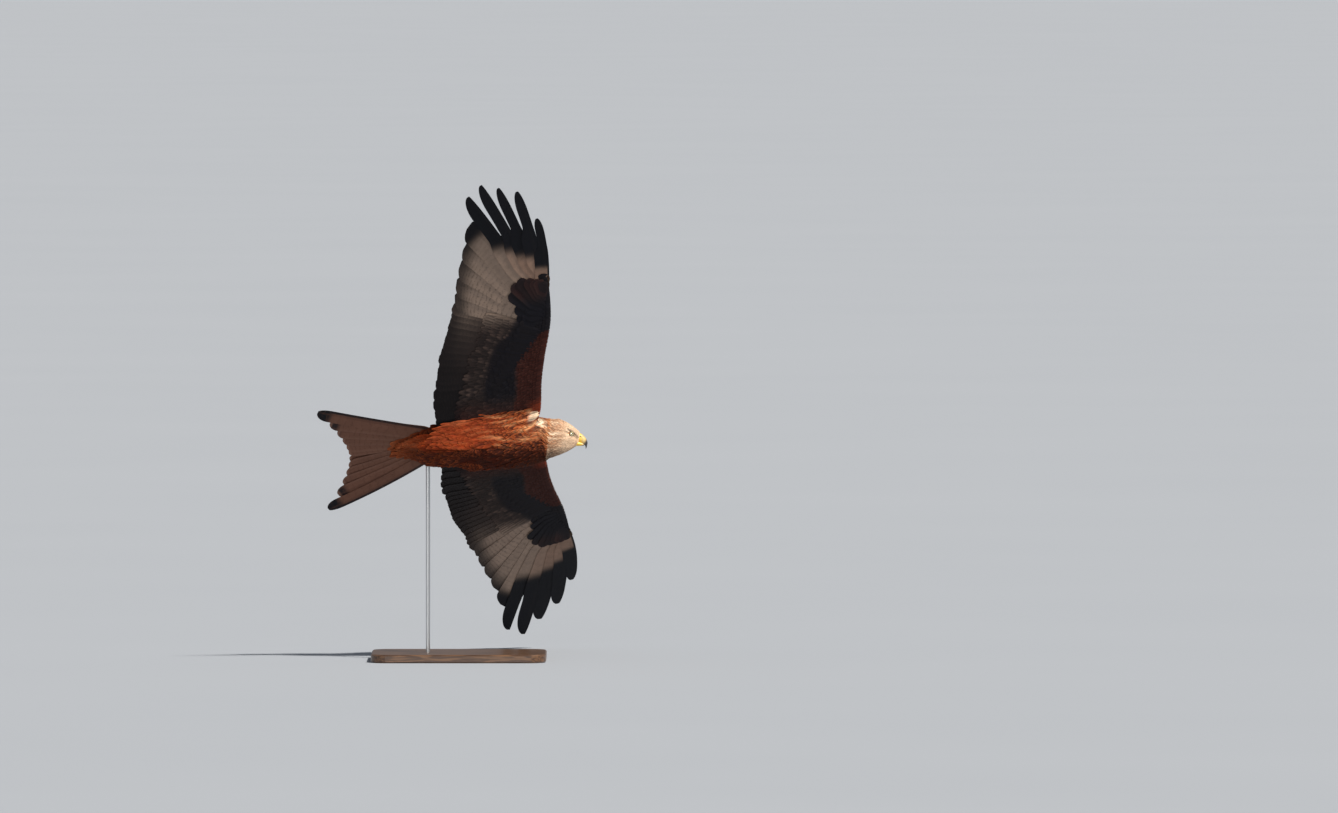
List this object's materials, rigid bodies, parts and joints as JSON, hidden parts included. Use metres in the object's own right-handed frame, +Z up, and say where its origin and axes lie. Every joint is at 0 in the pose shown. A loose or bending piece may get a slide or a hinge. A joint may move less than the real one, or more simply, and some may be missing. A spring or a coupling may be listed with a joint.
{
  "type": "red kite bird model",
  "caption": "Life-size soaring red kite in a steep bank, wings and forked tail spread, held above a flat base by a slim rod.",
  "frame": {"origin": "centre of the display base's underside", "axes": "+X the way the bird flies, +Y towards the side of the lowered left wing, +Z up from the surface the base stands on"},
  "size_m": [0.6474, 1.0835, 1.1528],
  "materials": {
    "body_plumage": "soft overlapping body feathers",
    "head_plumage": "fine pale streaked feathers",
    "wing_feathers": "satin flight feathers",
    "tail_feathers": "satin tail feathers",
    "bill_horn": "smooth horn, yellow at the base and dark at the tip",
    "eye_iris": "wet gloss",
    "foot_skin": "scaly yellow skin with black claws",
    "stand_wood": "dark satin stained",
    "stand_metal": "brushed"
  },
  "bodies": {
    "root": {"torso": "body_plumage", "neck": "body_plumage", "head": "head_plumage", "bill_upper": "bill_horn", "bill_lower": "bill_horn", "eye_left": "eye_iris", "eye_right": "eye_iris", "wing_left_arm": "wing_feathers", "wing_left_hand": "wing_feathers", "wing_right_arm": "wing_feathers", "wing_right_hand": "wing_feathers", "tail": "tail_feathers", "thigh_left": "body_plumage", "thigh_right": "body_plumage", "foot_left": "foot_skin", "foot_right": "foot_skin", "stand_base": "stand_wood", "stand_rod": "stand_metal"}
  },
  "joints": []
}
